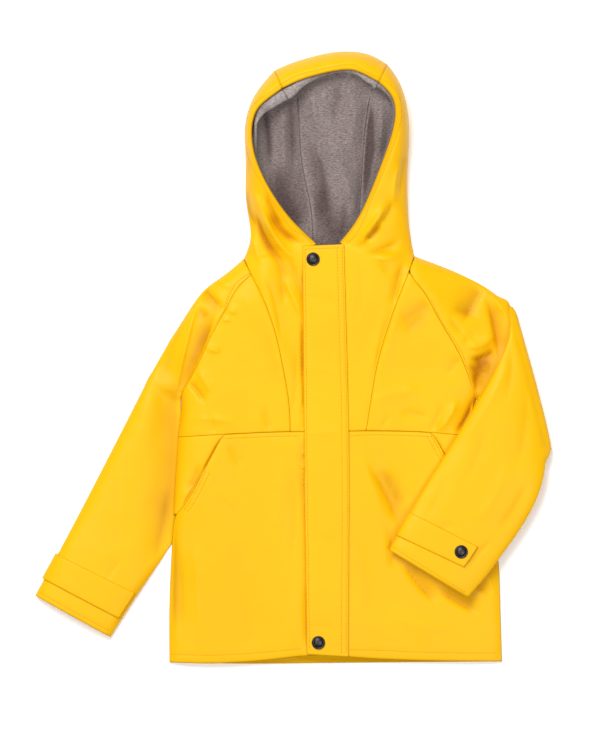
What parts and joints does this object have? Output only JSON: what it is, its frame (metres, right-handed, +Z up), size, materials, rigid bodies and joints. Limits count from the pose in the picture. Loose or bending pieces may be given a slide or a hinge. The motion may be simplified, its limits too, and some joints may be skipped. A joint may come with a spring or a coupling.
{
  "type": "child's hooded raincoat",
  "caption": "Small child's waterproof raincoat laid out flat on its back, hood up and open, with a snapped storm flap, raglan sleeves and one sleeve folded across the front.",
  "frame": {"origin": "on the surface the coat lies on, below the middle of the laid-out coat's outline", "axes": "+Z is straight up from the surface, through the coat's thickness; +Y runs from the hem to the hood; +X is towards the wearer's left side"},
  "size_m": [0.583, 0.69, 0.0526],
  "materials": {
    "coated_cloth": "soft satin polyurethane coating, warm yellow",
    "jersey_lining": "matte grey marl jersey",
    "snap_metal": "dark gunmetal, polished"
  },
  "bodies": {
    "root": {"back_panel": "coated_cloth", "right_hood_and_front": "coated_cloth", "left_hood_and_front": "coated_cloth", "hood_centre_strip": "coated_cloth", "right_chest_panel": "coated_cloth", "left_chest_panel": "coated_cloth", "right_lower_front": "coated_cloth", "left_lower_front": "coated_cloth", "right_pocket_facing": "coated_cloth", "left_pocket_facing": "coated_cloth", "storm_flap": "coated_cloth", "right_sleeve": "coated_cloth", "left_sleeve": "coated_cloth", "right_cuff_strap": "coated_cloth", "left_cuff_strap": "coated_cloth", "right_hood_lining": "jersey_lining", "left_hood_lining": "jersey_lining", "centre_hood_lining": "jersey_lining", "neck_snap": "snap_metal", "hem_snap": "snap_metal", "right_cuff_snap": "snap_metal", "left_cuff_snap": "snap_metal"}
  },
  "joints": []
}
